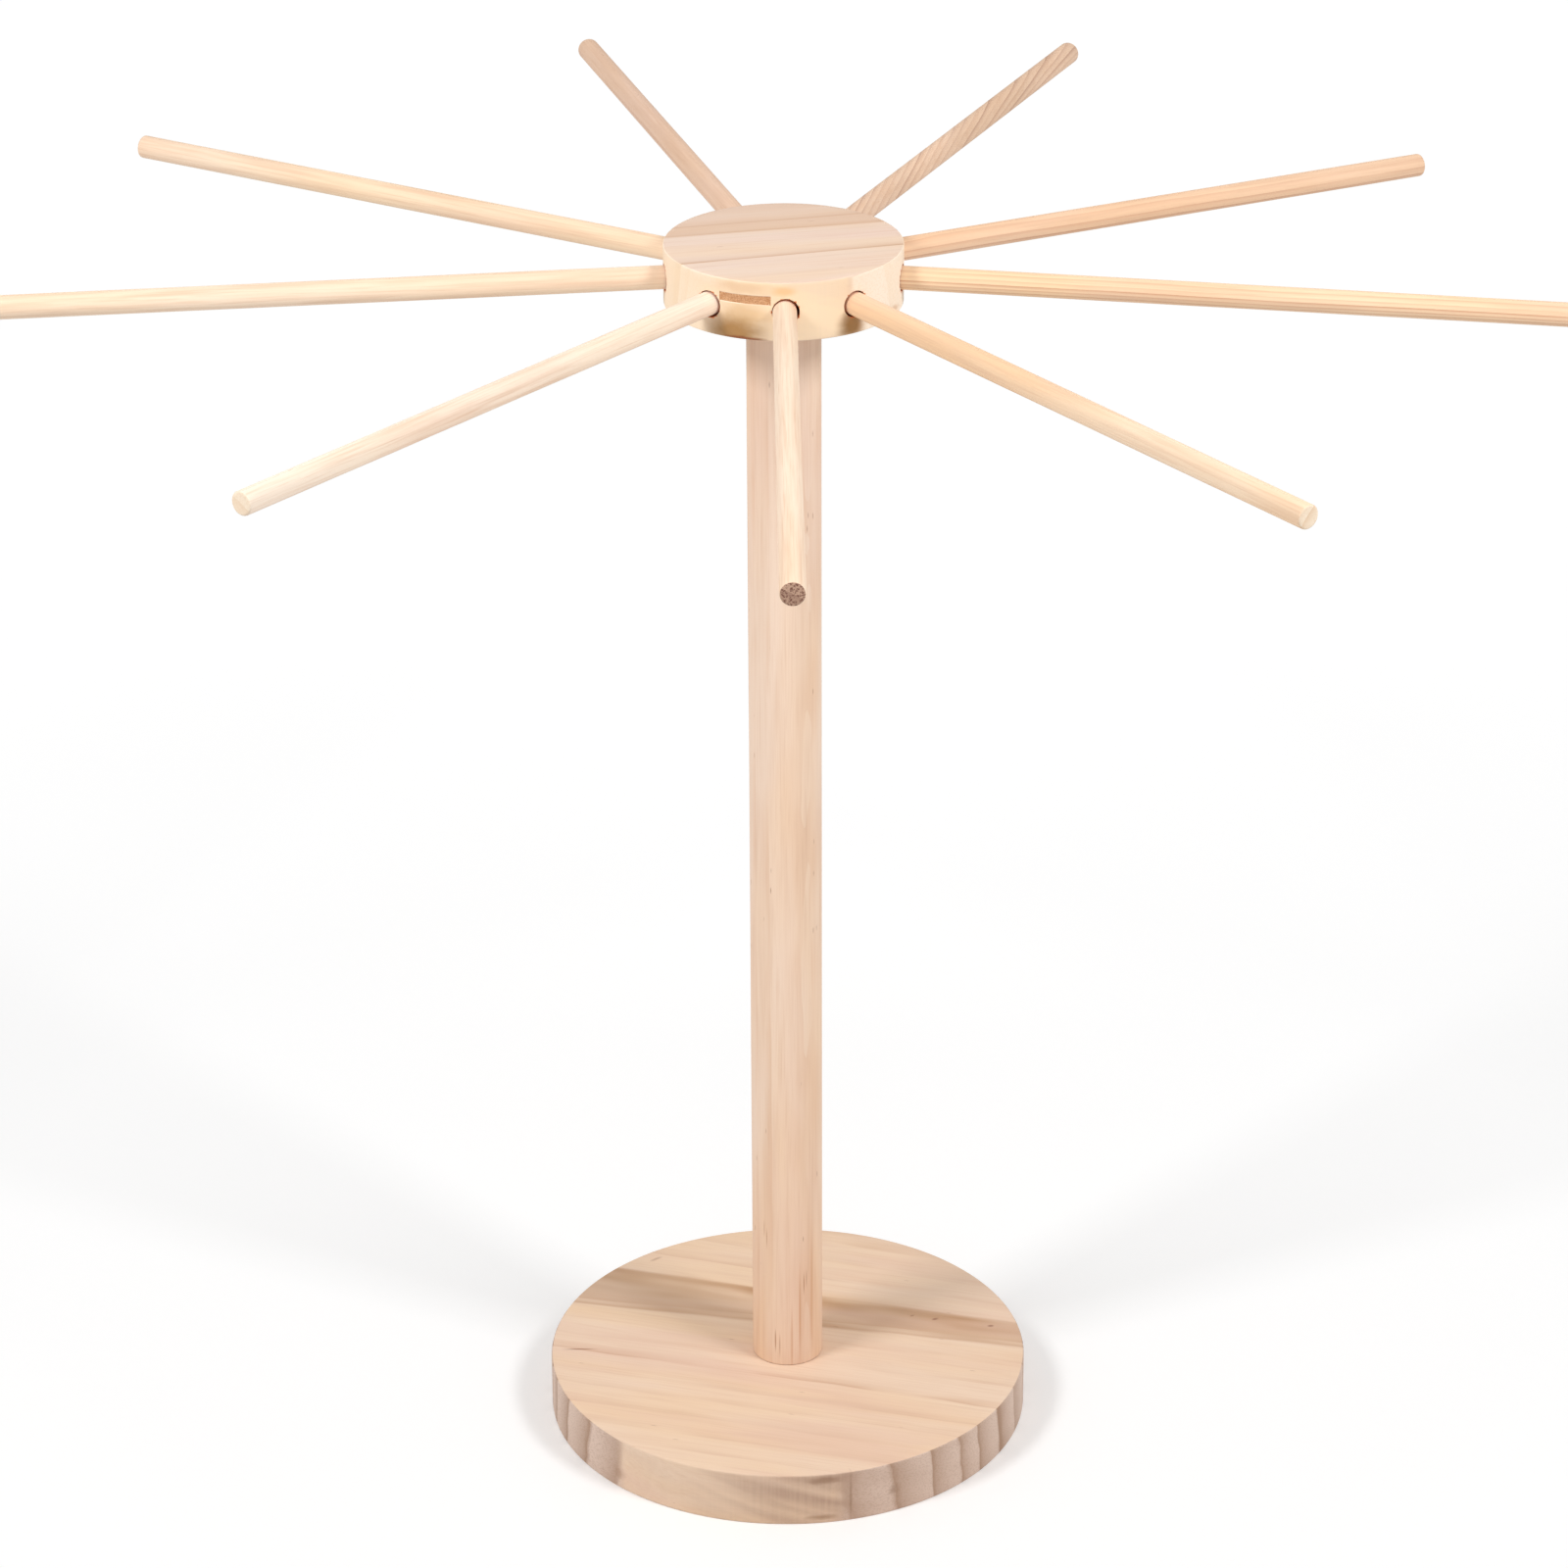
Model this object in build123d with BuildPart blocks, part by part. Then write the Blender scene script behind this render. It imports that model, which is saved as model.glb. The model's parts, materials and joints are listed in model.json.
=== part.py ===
"""Drying rack for kitchen use: a round base, a post, and a turning hub with nine loose arms.

Millimetres, +Z up. The origin is the centre of the base's underside, and -Y is the front.
"""

from build123d import *
from math import atan, cos, degrees, radians, sin
import os

# Base: a turned board
base_diameter = 205.0
base_thickness = 24.0
base_edge_ease = 0.8

# Post: a round rod that stands on the base
post_diameter = 30.0
post_length = 482.0
post_edge_ease = 0.5

# Hub: a turned board that rests on the post
hub_diameter = 95.0
hub_thickness = 24.0
hub_edge_ease = 0.8
hub_core_diameter = 45.0
hub_bore_cover = 7.5

# Arms: loose dowels in sockets in the hub's rim
arm_diameter = 9.5
arm_length = 286.0
arm_end_ease = 0.9
socket_play = 0.65
socket_end_gap = 0.4
first_arm_angle = -90.0

# How far each socket was drilled off its even place, as shares of the step between arms
drill_drift_shares = (0.013, -0.083, 0.0, -0.005, -0.105, -0.0925, 0.0125, -0.0425, 0.0425)

# How far each arm leans up from level, as shares of the most that its socket's play allows
lean_shares = (-0.46, -0.28, 0.0, -0.6, 0.08, -0.06, 0.15, 0.15, 0.04)

# Pin: a loose dowel that the hub turns on
pin_diameter = 12.0
pin_length = 40.0
pin_end_chamfer = 1.0
pin_play = 0.08
pin_end_gap = 0.5
bore_mouth_chamfer = 0.6

# Screw that holds the post, its head in a recess under the base
screw_length = 50.0
screw_core_diameter = 3.4
screw_crest_diameter = 5.0
screw_thread_length = 30.8
screw_thread_pitch = 2.2
screw_point_length = 5.0
screw_head_diameter = 9.6
screw_head_height = 3.4
screw_head_dome = 1.2
screw_head_sink = 4.0
ridge_width_share = 0.5

# Cross recess in the screw's head
cross_width = 1.1
cross_span = 5.2
cross_depth = 1.9

# Washer between the screw's head and the base
washer_diameter = 18.0
washer_thickness = 1.6
washer_edge_ease = 0.2

# Room around the screw and its washer
screw_play = 0.25
thread_play = 0.05
pilot_end_gap = 2.0
recess_play = 1.5

# How far each cut runs past the surface that it opens
cut_overrun = 2.0

# Worked out from the sizes above: the tall pieces
base_radius = base_diameter / 2
post_radius = post_diameter / 2
hub_radius = hub_diameter / 2
post_top = base_thickness + post_length
hub_bottom = post_top

# The arms and their sockets
arm_radius = arm_diameter / 2
arm_count = len(drill_drift_shares)
arm_step = 360 / arm_count
socket_radius = arm_radius + socket_play
socket_depth = (hub_diameter - hub_core_diameter) / 2
socket_height = hub_bottom + hub_thickness / 2
most_lean = degrees(atan(2 * socket_play / socket_depth))

# The pin and its two bores
pin_radius = pin_diameter / 2
bore_radius = pin_radius + pin_play
hub_bore_depth = hub_thickness - hub_bore_cover
post_bore_depth = pin_length + pin_end_gap - hub_bore_depth
pin_bottom = post_top - post_bore_depth

# The screw, its washer and the holes for them
core_radius = screw_core_diameter / 2
crest_radius = screw_crest_diameter / 2
head_radius = screw_head_diameter / 2
dome_radius = (head_radius**2 + screw_head_dome**2) / (2 * screw_head_dome)
washer_radius = washer_diameter / 2
washer_bottom = screw_head_sink + screw_head_height
recess_depth = washer_bottom + washer_thickness
recess_radius = washer_radius + recess_play
screw_tip = washer_bottom + screw_length
thread_end = screw_tip - screw_point_length
thread_start = thread_end - screw_thread_length
ridge_count = round(screw_thread_length / screw_thread_pitch)
ridge_step = screw_thread_length / ridge_count
clear_radius = crest_radius + screw_play
pilot_radius = crest_radius + thread_play
pilot_depth = screw_tip + pilot_end_gap - base_thickness


def outward(angle, lean=0.0):
    """The direction away from the rack's axis, at an angle about it and a lean up from level."""
    turn, rise = radians(angle), radians(lean)
    return Vector(cos(turn) * cos(rise), sin(turn) * cos(rise), sin(rise))


def socket_floor(angle):
    """The plane of a socket's flat end inside the hub, which faces out along the socket."""
    centre = Vector(0, 0, socket_height) + outward(angle) * (hub_core_diameter / 2)
    return Plane(origin=centre, z_dir=outward(angle))


def arm_root(angle, lean):
    """The plane of an arm's inner end. The arm leans about the middle of its socket's depth."""
    middle = Vector(0, 0, socket_height) + outward(angle) * ((hub_core_diameter + socket_depth) / 2)
    along = outward(angle, lean)
    return Plane(origin=middle - along * (socket_depth / 2 - socket_end_gap), z_dir=along)


def save(piece, label):
    """Names a finished piece and writes it to a file of its own."""
    piece.part.label = label
    export_step(piece.part, f"parts/{label}.step")


os.makedirs("parts", exist_ok=True)
arm_angles = [first_arm_angle + arm_step * (n + share) for n, share in enumerate(drill_drift_shares)]

# Base: eased rims, a clear hole for the screw, and the recess for its head and washer
with BuildPart() as base_disc:
    with BuildSketch():
        Circle(base_radius)
    extrude(amount=base_thickness)
    fillet(base_disc.edges().filter_by(GeomType.CIRCLE), base_edge_ease)
    with Locations(Plane.XY.rotated((180, 0, 0))):
        CounterBoreHole(clear_radius, recess_radius, recess_depth)
save(base_disc, "base_disc")

# Post: eased ends, a bore for the pin above and a pilot hole for the screw below
with BuildPart() as post:
    with BuildSketch(Plane.XY.offset(base_thickness)):
        Circle(post_radius)
    extrude(amount=post_length)
    fillet(post.edges().filter_by(GeomType.CIRCLE), post_edge_ease)
    with Locations(post.faces().sort_by(Axis.Z)[-1]):
        Hole(bore_radius, post_bore_depth)
    with Locations(post.faces().sort_by(Axis.Z)[0]):
        Hole(pilot_radius, pilot_depth)
    chamfer(post.faces().sort_by(Axis.Z)[-1].edges().sort_by(SortBy.RADIUS)[0], bore_mouth_chamfer)
save(post, "post")

# Hub: eased rims, a bore for the pin below and a socket in the rim for each arm
with BuildPart() as hub:
    with BuildSketch(Plane.XY.offset(hub_bottom)):
        Circle(hub_radius)
    extrude(amount=hub_thickness)
    fillet(hub.edges().filter_by(GeomType.CIRCLE), hub_edge_ease)
    with Locations(hub.faces().sort_by(Axis.Z)[0]):
        Hole(bore_radius, hub_bore_depth)
    chamfer(hub.faces().sort_by(Axis.Z)[0].edges().sort_by(SortBy.RADIUS)[0], bore_mouth_chamfer)
    for angle in arm_angles:
        with BuildSketch(socket_floor(angle)):
            Circle(socket_radius)
        extrude(amount=socket_depth + cut_overrun, mode=Mode.SUBTRACT)
save(hub, "hub")

# Pin: stands on the floor of the post's bore and reaches up into the hub
with BuildPart() as hub_pin:
    with BuildSketch(Plane.XY.offset(pin_bottom)):
        Circle(pin_radius)
    extrude(amount=pin_length)
    chamfer(hub_pin.edges().filter_by(GeomType.CIRCLE), pin_end_chamfer)
save(hub_pin, "hub_pin")

# Arms: numbered anticlockwise from the one at the front, seen from above
for n, angle in enumerate(arm_angles):
    with BuildPart() as arm:
        with BuildSketch(arm_root(angle, most_lean * lean_shares[n])):
            Circle(arm_radius)
        extrude(amount=arm_length)
        fillet(arm.edges().filter_by(GeomType.CIRCLE), arm_end_ease)
    save(arm, f"arm_{n + 1}")

# Washer: lies against the recess's floor
with BuildPart() as base_washer:
    with BuildSketch(Plane.XY.offset(washer_bottom)):
        Circle(washer_radius)
        Circle(clear_radius, mode=Mode.SUBTRACT)
    extrude(amount=washer_thickness)
    fillet(base_washer.edges().filter_by(GeomType.CIRCLE), washer_edge_ease)
save(base_washer, "base_washer")

# Screw: a domed head below, a plain neck, ridges for the thread and a point in the post
with BuildPart() as base_screw:
    with BuildSketch(Plane.XZ):
        with BuildLine():
            dome_rim = (head_radius, screw_head_sink + screw_head_dome)
            RadiusArc((0, screw_head_sink), dome_rim, -dome_radius)
            ridges = [(core_radius, thread_start)]
            for n in range(ridge_count):
                foot = thread_start + n * ridge_step
                ridges.append((crest_radius, foot + ridge_step * ridge_width_share / 2))
                ridges.append((core_radius, foot + ridge_step * ridge_width_share))
                ridges.append((core_radius, foot + ridge_step))
            neck = [dome_rim, (head_radius, washer_bottom), (core_radius, washer_bottom)]
            Polyline(*neck, *ridges, (0, screw_tip), (0, screw_head_sink))
        make_face()
    revolve(axis=Axis.Z)
    with BuildSketch(Plane.XY.offset(screw_head_sink)):
        Rectangle(cross_span, cross_width)
        Rectangle(cross_width, cross_span)
    extrude(amount=cross_depth, mode=Mode.SUBTRACT)
save(base_screw, "base_screw")
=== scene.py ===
"""Dresses the drying rack: turned pine boards, pine dowels, the fixings that hold them, and a studio.

Metres, +Z up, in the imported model's own frame. The front is towards -Y.
"""

from __future__ import annotations

import json
import logging
import math
from collections.abc import Callable, Iterator
from contextlib import contextmanager
from dataclasses import dataclass, field
from enum import Enum
from typing import Any

import bmesh
import bpy
from mathutils import Euler, Matrix, Vector

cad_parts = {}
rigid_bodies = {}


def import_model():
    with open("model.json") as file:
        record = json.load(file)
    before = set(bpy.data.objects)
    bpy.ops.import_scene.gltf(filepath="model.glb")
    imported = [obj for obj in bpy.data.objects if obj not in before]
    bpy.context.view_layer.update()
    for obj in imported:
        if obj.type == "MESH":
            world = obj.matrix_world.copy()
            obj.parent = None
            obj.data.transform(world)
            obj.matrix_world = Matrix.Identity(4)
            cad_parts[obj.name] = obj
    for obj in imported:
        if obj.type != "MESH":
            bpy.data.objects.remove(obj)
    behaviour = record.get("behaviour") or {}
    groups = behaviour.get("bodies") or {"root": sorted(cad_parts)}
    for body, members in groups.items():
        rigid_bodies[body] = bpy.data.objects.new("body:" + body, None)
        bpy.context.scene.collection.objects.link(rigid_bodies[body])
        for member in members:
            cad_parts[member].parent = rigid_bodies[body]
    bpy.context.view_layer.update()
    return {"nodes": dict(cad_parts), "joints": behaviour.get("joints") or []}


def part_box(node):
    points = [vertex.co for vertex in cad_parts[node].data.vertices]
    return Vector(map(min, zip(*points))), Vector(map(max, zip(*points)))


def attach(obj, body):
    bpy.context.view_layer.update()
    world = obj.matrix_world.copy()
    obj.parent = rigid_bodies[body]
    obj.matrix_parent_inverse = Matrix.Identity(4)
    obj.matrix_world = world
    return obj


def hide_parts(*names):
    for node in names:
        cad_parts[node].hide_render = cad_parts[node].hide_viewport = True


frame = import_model()

log = logging.getLogger("drying_rack")

MM = 0.001
UP = Vector((0.0, 0.0, 1.0))

Material = bpy.types.Material
Piece = bpy.types.Object
Socket = bpy.types.NodeSocket
Tree = bpy.types.NodeTree

# A cap's faces point up or down by at least this share, and a finished piece creases above this angle
LEVEL = 0.99
CREASE = math.radians(32.0)

# How wide the tip of the mark is that a bit's point leaves, as a share of its rim
SPUR_TIP = 0.2

WOOD_IOR = 1.5

# The span in which nearly all values of a noise field lie
NOISE = {"From Min": 0.35, "From Max": 0.65}

# How far from its middle a mark or painted shadow is gone, and how near it is darkest, as shares of its
# size
MARK_OR_SHADOW_GONE, MARK_OR_SHADOW_FULL = 1.1, 0.2

# Sockets of the Mix node when it mixes colours
MIX_SHARE, MIX_FROM, MIX_TO, MIX_RESULT = 0, 6, 7, 2


class Element(Enum):
    """What is selected in edit mode."""

    EDGES = "EDGE"
    FACES = "FACE"


class Figure(Enum):
    """How a piece's growth rings are laid out."""

    BOARD = "rings stand on edge, and each line has its own place across the grain"
    ROD = "rings follow one another round the heart of the tree at one spacing"


class Slot(Enum):
    """The record's material slots."""

    BOARD = "pine_board"
    ROD = "pine_rod"


def linear(shade: str) -> tuple[float, float, float, float]:
    """Turns an sRGB hex value into linear colour.

    Args:
        shade: six hex digits after a hash sign.

    Returns:
        Linear red, green, blue and a full alpha.
    """
    parts = [int(shade[i : i + 2], 16) / 255 for i in (1, 3, 5)]
    red, green, blue = (p / 12.92 if p <= 0.04045 else ((p + 0.055) / 1.055) ** 2.4 for p in parts)
    return red, green, blue, 1.0


def add(
    tree: Tree,
    kind: str,
    feeds: dict[str | int, Any] | None = None,
    out: int | str | None = 0,
    stops: tuple[tuple[float, float], ...] = (),
    **settings: Any,
) -> Any:
    """Adds one node with its settings, its values and its links.

    Args:
        tree: the node tree that gets it.
        kind: the node's class name, without the ShaderNode that starts it.
        feeds: for each input, by name or number, a value or the output that feeds it.
        out: the number or name of the output that is handed back, or None for the node itself.
        stops: places and grey values of a colour ramp.
        settings: the node's own properties.

    Returns:
        The chosen output, or the node.
    """
    made = tree.nodes.new(f"ShaderNode{kind}")
    for name, value in settings.items():
        setattr(made, name, value)
    for key, value in (feeds or {}).items():
        if isinstance(value, Socket):
            tree.links.new(value, made.inputs[key])
        else:
            made.inputs[key].default_value = value
    for number, (place, value) in enumerate(stops):
        elements = made.color_ramp.elements
        stop = elements[number] if number < len(elements) else elements.new(place)
        stop.position = place
        stop.color = (value, value, value, 1.0)
    return made if out is None else made.outputs[out]


def emptied(owner: Material | bpy.types.World) -> Tree:
    """Gives a new material or world an empty node tree.

    Args:
        owner: the material or world.

    Returns:
        Its node tree.
    """
    owner.use_nodes = True
    owner.node_tree.nodes.clear()
    return owner.node_tree


def deselect() -> None:
    """Leaves nothing selected."""
    bpy.ops.object.select_all(action="DESELECT")


def take(piece: Piece) -> None:
    """Selects one object alone and makes it the active one."""
    deselect()
    piece.select_set(True)
    bpy.context.view_layer.objects.active = piece


@contextmanager
def at_work(piece: Piece) -> Iterator[None]:
    """Puts a piece in edit mode with nothing selected, and takes it out again."""
    take(piece)
    bpy.ops.object.mode_set(mode="EDIT")
    bpy.ops.mesh.select_all(action="DESELECT")
    yield
    bpy.ops.object.mode_set(mode="OBJECT")


def pick(piece: Piece, element: Element, test: Callable[[Any], bool]) -> None:
    """Selects the edges or faces of a piece in edit mode that pass a test.

    Args:
        piece: the object in edit mode.
        element: edges or faces.
        test: says of each one whether it is wanted.
    """
    bpy.ops.mesh.select_mode(type=element.value)
    bpy.ops.mesh.select_all(action="DESELECT")
    mesh = bmesh.from_edit_mesh(piece.data)
    for item in mesh.edges if element is Element.EDGES else mesh.faces:
        item.select_set(test(item))
    bmesh.update_edit_mesh(piece.data)


def settle(piece: Piece) -> None:
    """Puts an object's place, turn and scale into its mesh."""
    take(piece)
    bpy.ops.object.transform_apply(location=True, rotation=True, scale=True)


def apply_modifiers(piece: Piece) -> None:
    """Applies all the modifiers of a piece, in their order."""
    take(piece)
    for name in [modifier.name for modifier in piece.modifiers]:
        bpy.ops.object.modifier_apply(modifier=name)


@dataclass(frozen=True)
class Cuts:
    """How finely a turned piece is cut into faces.

    Its sides are facets round the piece, its hoops are cuts along the round face, and its rings are
    cuts from each end's rim to its middle.
    """

    sides: int
    hoops: int
    rings: int
    ease_steps: int = 4


def turned(name: str, radius: float, low: float, high: float, ease: float, cuts: Cuts) -> Piece:
    """Makes a round piece about the Z axis with eased rims.

    Args:
        name: the object's name.
        radius: of the round face.
        low: height of the lower end.
        high: height of the upper end.
        ease: radius of the eased rims.
        cuts: how many faces it gets.

    Returns:
        The object, with its place in its mesh.
    """
    length = high - low
    deselect()
    bpy.ops.mesh.primitive_cylinder_add(
        vertices=cuts.sides, radius=radius, depth=length, location=(0, 0, (low + high) / 2)
    )
    piece = bpy.context.object
    piece.name = name
    settle(piece)
    with at_work(piece):
        pick(piece, Element.EDGES, lambda e: abs(e.verts[0].co.z - e.verts[1].co.z) < length / 2)
        bpy.ops.mesh.bevel(
            offset=ease, segments=cuts.ease_steps, profile=0.5, affect="EDGES", clamp_overlap=False
        )
        pick(piece, Element.EDGES, lambda e: abs(e.verts[0].co.z - e.verts[1].co.z) > length / 2)
        bpy.ops.mesh.subdivide(number_cuts=cuts.hoops)
        for face_up in (True, False):
            pick(piece, Element.FACES, lambda f: len(f.verts) == cuts.sides and (f.normal.z > 0) is face_up)
            step = (radius - ease) / (cuts.rings + 1)
            for _ in range(cuts.rings):
                bpy.ops.mesh.inset(thickness=step, depth=0.0)
            bpy.ops.mesh.poke()
    return piece


def bit(name: str, radius: float, depth: float, flare: float, sides: int, spur: float = 0.0) -> Piece:
    """Makes the shape that a drill bit removes. It points down from Z = 0, where the hole's mouth is.

    Args:
        name: the object's name.
        radius: of the hole.
        depth: from the mouth to the flat floor.
        flare: how far the mouth widens, over the same depth.
        sides: facets round the hole.
        spur: depth of the mark that the bit's point leaves in the floor, or zero.

    Returns:
        The cutter, with its place in its mesh.
    """
    deselect()
    bpy.ops.mesh.primitive_cylinder_add(
        vertices=sides, radius=radius, depth=depth - flare, location=(0, 0, -(depth + flare) / 2)
    )
    cutter = bpy.context.object
    cutter.name = name
    settle(cutter)
    with at_work(cutter):
        pick(cutter, Element.FACES, lambda f: f.normal.z > LEVEL)
        wide = (radius + flare) / radius
        bpy.ops.mesh.extrude_region_move(TRANSFORM_OT_translate={"value": (0, 0, flare)})
        bpy.ops.transform.resize(value=(wide, wide, 1.0))
        bpy.ops.mesh.extrude_region_move(TRANSFORM_OT_translate={"value": (0, 0, radius)})
        if spur > 0:
            pick(cutter, Element.FACES, lambda f: f.normal.z < -LEVEL)
            bpy.ops.mesh.inset(thickness=radius - spur, depth=0.0)
            bpy.ops.mesh.extrude_region_move(TRANSFORM_OT_translate={"value": (0, 0, -spur)})
            bpy.ops.transform.resize(value=(SPUR_TIP, SPUR_TIP, 1.0))
    return cutter


def drill(piece: Piece, cutter: Piece, mouth: Vector, inward: Vector) -> None:
    """Drills a hole with a cutter, which is used up.

    Args:
        piece: what is drilled.
        cutter: a shape from bit.
        mouth: the middle of the hole's mouth.
        inward: the direction in which the hole runs.
    """
    turn = (-UP).rotation_difference(inward).to_matrix().to_4x4()
    cutter.matrix_world = Matrix.Translation(mouth) @ turn
    settle(cutter)
    take(piece)
    modifier = piece.modifiers.new("drill", "BOOLEAN")
    modifier.operation = "DIFFERENCE"
    modifier.solver = "EXACT"
    modifier.object = cutter
    apply_modifiers(piece)
    bpy.data.objects.remove(cutter)


def sand(piece: Piece, grain_size: float, depth: float) -> None:
    """Gives a piece the faint waves that sanding leaves. They only go inwards.

    Args:
        piece: what is sanded.
        grain_size: length of a wave.
        depth: of the deepest wave.
    """
    waves = bpy.data.textures.new(f"{piece.name}_waves", type="CLOUDS")
    waves.noise_scale = grain_size
    modifier = piece.modifiers.new("waves", "DISPLACE")
    modifier.texture = waves
    modifier.texture_coords = "GLOBAL"
    modifier.strength = depth
    modifier.mid_level = 1.0
    apply_modifiers(piece)


def smooth(piece: Piece) -> None:
    """Shades a piece smooth, but keeps its crisp edges."""
    take(piece)
    bpy.ops.object.shade_smooth_by_angle(angle=CREASE)


@dataclass(frozen=True)
class MarkOrPaintedShadow:
    """A darker place painted on the wood, with a soft edge: a small knot or a torn spot, or a painted
    shadow that an arm casts on the hub.

    Lengths are in millimetres, and the angles are in degrees.
    """

    azimuth: float
    out: float
    height: float
    width: float
    tall: float
    share: float
    shade: str
    deep: float = 5.0
    ragged: float = 1.2

    def lay(self, tree: Tree, place: Socket, streak: Socket, colour: Socket) -> Socket:
        """Adds the mark or painted shadow to a colour.

        Args:
            tree: the material's nodes.
            place: Object coordinates.
            streak: the field that draws its edge out along the grain.
            colour: the wood without it.

        Returns:
            The wood with it.
        """
        turn = math.radians(self.azimuth)
        middle = Vector((math.cos(turn) * self.out, math.sin(turn) * self.out, self.height))
        feeds = {"Vector": place, "Location": middle * MM, "Rotation": (0.0, 0.0, turn)}
        feeds["Scale"] = (self.deep * MM, self.width / 2 * MM, self.tall / 2 * MM)
        near = add(tree, "Mapping", feeds, vector_type="TEXTURE")
        far = add(tree, "VectorMath", {0: near}, out=1, operation="LENGTH")
        far = add(tree, "Math", {0: streak, 1: self.ragged, 2: far}, operation="MULTIPLY_ADD")
        shift = self.ragged / 2
        feeds = {"Value": far, "From Min": MARK_OR_SHADOW_GONE + shift, "From Max": MARK_OR_SHADOW_FULL + shift}
        feeds["To Max"] = self.share
        share = add(tree, "MapRange", feeds, interpolation_type="SMOOTHSTEP")
        feeds = {MIX_SHARE: share, MIX_FROM: colour, MIX_TO: linear(self.shade)}
        return add(tree, "Mix", feeds, out=MIX_RESULT, data_type="RGBA")


@dataclass(frozen=True)
class Pine:
    """Plantation pine, planed or turned and then sanded, with no varnish.

    The eye gets a pale matt wood: wide soft earlywood, thin darker lines where each ring ends, fine
    fibres and short brown resin canals along the grain, and duller, pinker end grain.
    Lengths are in millimetres, and the grain's own X axis runs along the fibres.
    """

    name: str
    figure: Figure
    turn: Euler
    seed: float
    heart: Vector = field(default_factory=Vector)
    pale: str = "#F4D7BA"
    warm: str = "#F3D2AC"
    pink: str = "#ECCAB2"
    late: str = "#CFA27E"
    band: str = "#BE8D69"
    fibre: str = "#D9B090"
    canal: str = "#9A6A4C"
    end_pale: str = "#E2C6B0"
    end_late: str = "#B08A72"
    rim_stain: str = "#B4937D"
    ring_width: float = 4.0
    ring_lines: tuple[tuple[float, float], ...] = ()
    ring_sharp: float = 0.7
    weakest_ring: float = 0.6
    ring_power: float = 3.5
    line_least: float = 0.12
    crisp_share: float = 0.6
    bands: tuple[tuple[float, float], ...] = ()
    band_patches: tuple[float, float] = (1.3, 0.5)
    slants: tuple[tuple[float, float], ...] = ()
    most_slant: float = 0.1
    reach: float = 110.0
    tilt: float = 0.0
    wander: float = 0.8
    ripple: float = 0.3
    warm_share: float = 0.7
    pink_share: float = 0.7
    late_share: float = 0.75
    streak_share: float = 0.4
    fibre_share: float = 0.35
    canal_share: float = 0.5
    canal_luck: float = 0.2
    canal_cells: tuple[float, float, float] = (0.07, 0.5, 0.5)
    end_share: float = 0.9
    end_crisp: float = 0.35
    end_speck: float = 0.25
    end_power: float = 1.8
    end_start: float = 0.44
    end_blend: float = 0.06
    stains: tuple[tuple[float, float], ...] = ()
    stain_flow: tuple[float, float] = (0.35, 1.6)
    flow_slope: float = -0.35
    marks_and_painted_shadows: tuple[MarkOrPaintedShadow, ...] = ()
    roughness: tuple[float, float] = (0.62, 0.78)
    relief: float = 0.06

    def fields(self, tree: Tree, grain: Socket) -> dict[str, Socket]:
        """Adds the soft random fields that the wood's colour follows.

        Args:
            tree: the material's nodes.
            grain: the place in the wood, in millimetres.

        Returns:
            Each field by its name, about 0.5 on average.
        """
        # Each field's blotches are as long, wide and high as one over its stretch, in millimetres
        stretches = {
            "bend": ((0.007, 0.02, 0.03), 1.0),
            "ripple": ((0.03, 0.12, 0.12), 1.0),
            "cloud": ((0.006, 0.035, 0.035), 2.0),
            "blush": ((0.008, 0.05, 0.05), 2.0),
            "fade": ((0.02, 0.09, 0.05), 1.0),
            "streak": ((0.017, 0.35, 0.35), 3.0),
            "thread": ((0.02, 0.9, 0.9), 2.0),
            "fibre": ((0.04, 1.7, 1.7), 2.0),
            "flow": ((0.012, 0.012, 0.16), 1.0),
            "chatter": ((0.9, 0.9, 0.03), 1.0),
        }
        made = {}
        # The flow follows the fibres where a turned rim cuts them at a slant
        flow_turn = (0.0, math.atan(self.flow_slope), 0.0)
        slanted = add(tree, "Mapping", {"Vector": grain, "Rotation": flow_turn})
        for number, (name, (stretch, detail)) in enumerate(stretches.items()):
            source = slanted if name == "flow" else grain
            stretched = add(tree, "VectorMath", {0: source, 1: stretch}, operation="MULTIPLY")
            feeds = {"Vector": stretched, "W": self.seed + number, "Scale": 1.0, "Detail": detail}
            made[name] = add(tree, "TexNoise", feeds, noise_dimensions="4D")
        return made

    def across(self, tree: Tree, grain: Socket, fields: dict[str, Socket]) -> Socket:
        """Adds the nodes that measure the way across the rings, with their slow bends.

        Args:
            tree: the material's nodes.
            grain: the place in the wood, in millimetres.
            fields: the random fields.

        Returns:
            The distance across the rings, in millimetres.
        """
        if self.figure is Figure.ROD:
            flat = add(tree, "VectorMath", {0: grain, 1: (0.0, 1.0, 1.0)}, operation="MULTIPLY")
            way = add(tree, "VectorMath", {0: flat}, out=1, operation="LENGTH")
        else:
            along, side, rise = add(tree, "SeparateXYZ", {0: grain}, out=None).outputs
            way = side
            if self.slants:
                stops = tuple((place, 0.5 - slope / (2 * self.most_slant)) for place, slope in self.slants)
                feeds = {"Value": self.table(tree, side, stops)}
                feeds |= {"To Min": -self.most_slant, "To Max": self.most_slant}
                slope = add(tree, "MapRange", feeds)
                way = add(tree, "Math", {0: along, 1: slope, 2: side}, operation="MULTIPLY_ADD")
            way = add(tree, "Math", {0: rise, 1: self.tilt, 2: way}, operation="MULTIPLY_ADD")
        for name, reach in (("bend", self.wander), ("ripple", self.wander * self.ripple)):
            feeds = {"Value": fields[name], "To Min": -2 * reach, "To Max": 2 * reach}
            shift = add(tree, "MapRange", feeds)
            way = add(tree, "Math", {0: way, 1: shift}, operation="ADD")
        return way

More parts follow.
